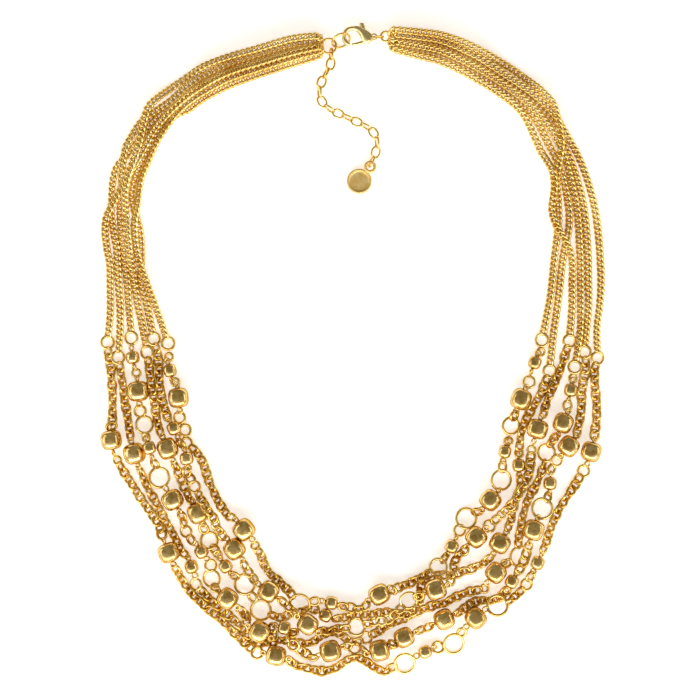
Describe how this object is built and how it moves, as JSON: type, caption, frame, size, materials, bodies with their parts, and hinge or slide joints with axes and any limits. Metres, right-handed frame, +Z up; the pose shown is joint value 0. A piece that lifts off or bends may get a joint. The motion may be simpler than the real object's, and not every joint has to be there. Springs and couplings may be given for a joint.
{
  "type": "multi strand necklace",
  "caption": "Gold coloured multi strand necklace lying flat, with fine chains, cable strands of rounded cube beads and rings, a lobster clasp and an extender with a round tag.",
  "frame": {"origin": "centre of the necklace's outline, at the floor that it lies on", "axes": "+Z up from the floor, +Y from the beaded front towards the clasp, +X to the right as seen from above with the clasp away"},
  "size_m": [0.1603, 0.2081, 0.0089],
  "materials": {
    "polished_gold": "polished, warm antique gold plating",
    "strand_gold": "polished gold plated wire links",
    "chain_gold": "polished fine curb chain",
    "ring_gold": "polished pale gold wire",
    "clasp_gold": "polished pale gold plating"
  },
  "bodies": {
    "necklace": {"bead_01": "polished_gold", "bead_02": "polished_gold", "bead_03": "polished_gold", "bead_04": "polished_gold", "bead_05": "polished_gold", "bead_06": "polished_gold", "bead_07": "polished_gold", "bead_08": "polished_gold", "bead_09": "polished_gold", "bead_10": "polished_gold", "bead_11": "polished_gold", "bead_12": "polished_gold", "bead_13": "polished_gold", "bead_14": "polished_gold", "bead_15": "polished_gold", "bead_16": "polished_gold", "bead_17": "polished_gold", "bead_18": "polished_gold", "bead_19": "polished_gold", "bead_20": "polished_gold", "bead_21": "polished_gold", "bead_22": "polished_gold", "bead_23": "polished_gold", "bead_24": "polished_gold", "bead_25": "polished_gold", "bead_26": "polished_gold", "bead_27": "polished_gold", "bead_28": "polished_gold", "bead_29": "polished_gold", "bead_30": "polished_gold", "bead_31": "polished_gold", "bead_32": "polished_gold", "strand_1": "strand_gold", "strand_2": "strand_gold", "strand_3": "strand_gold", "strand_4": "strand_gold", "strand_5": "strand_gold", "strand_6": "strand_gold", "left_chain_1": "chain_gold", "left_chain_2": "chain_gold", "left_chain_3": "chain_gold", "left_chain_4": "chain_gold", "left_chain_5": "chain_gold", "left_chain_6": "chain_gold", "right_chain_1": "chain_gold", "right_chain_2": "chain_gold", "right_chain_3": "chain_gold", "right_chain_4": "chain_gold", "right_chain_5": "chain_gold", "right_chain_6": "chain_gold", "left_end_ring": "ring_gold", "hook_ring": "ring_gold", "clasp_ring": "ring_gold", "right_end_ring": "ring_gold", "extender_chain": "ring_gold", "clasp_body": "clasp_gold", "tag": "clasp_gold"},
    "lever": {"clasp_lever": "clasp_gold"}
  },
  "joints": [
    {"name": "lever_hinge", "type": "hinge", "parent": "necklace", "child": "lever", "pos_m": [0.00397, 0.09862, 0.0028], "axis": [0, 0, -1], "range_deg": [0, 16], "stiffness_Nm_per_rad": 0.02, "springref_deg": -11.46}
  ]
}
